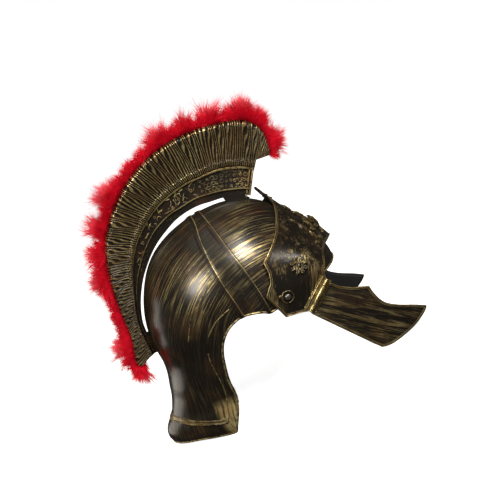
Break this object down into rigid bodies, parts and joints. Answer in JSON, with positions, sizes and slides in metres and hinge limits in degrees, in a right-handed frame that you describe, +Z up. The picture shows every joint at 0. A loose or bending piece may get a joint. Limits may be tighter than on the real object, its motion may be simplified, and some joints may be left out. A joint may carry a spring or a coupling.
{
  "type": "roman legionary costume helmet",
  "caption": "Roman legionary costume helmet with deep neck guard, feather-trimmed brush crest, brow plate with side wings and hinged cheek guards",
  "frame": {"origin": "on the table under the middle of the helmet's length and width", "axes": "+X the wearer's front, +Y the wearer's left, +Z up; the helmet is its own mirror image across the XZ plane, feathers apart"},
  "size_m": [0.3226, 0.184, 0.3248],
  "materials": {
    "skull_bowl": "glossy black plastic dry-brushed with antique gold",
    "crest": "moulded bristles, black with gold dry-brushed ridges",
    "plume": "fluffy red feather trim",
    "brow_plate": "glossy black plastic with gold beaded edge and relief",
    "brow_rivet_right": "plain grey metal",
    "brow_rivet_left": "plain grey metal",
    "hinge_pin_right": "plain grey metal",
    "hinge_pin_left": "plain grey metal",
    "cheek_guard_right": "glossy black plastic dry-brushed with antique gold",
    "cheek_guard_left": "glossy black plastic dry-brushed with antique gold"
  },
  "bodies": {
    "helmet": {"skull_bowl": "skull_bowl", "crest": "crest", "plume": "plume", "brow_plate": "brow_plate", "brow_rivet_right": "brow_rivet_right", "brow_rivet_left": "brow_rivet_left", "hinge_pin_right": "hinge_pin_right", "hinge_pin_left": "hinge_pin_left"},
    "guard_right": {"cheek_guard_right": "cheek_guard_right"},
    "guard_left": {"cheek_guard_left": "cheek_guard_left"}
  },
  "joints": [
    {"name": "guard_right_hinge", "type": "hinge", "parent": "helmet", "child": "guard_right", "pos_m": [0.06134, -0.0891, 0.09525], "axis": [-0.8425, 0, -0.5388], "range_deg": [0, 110]},
    {"name": "guard_left_hinge", "type": "hinge", "parent": "helmet", "child": "guard_left", "pos_m": [0.06134, 0.0891, 0.09525], "axis": [0.8425, 0, 0.5388], "range_deg": [0, 110]}
  ]
}
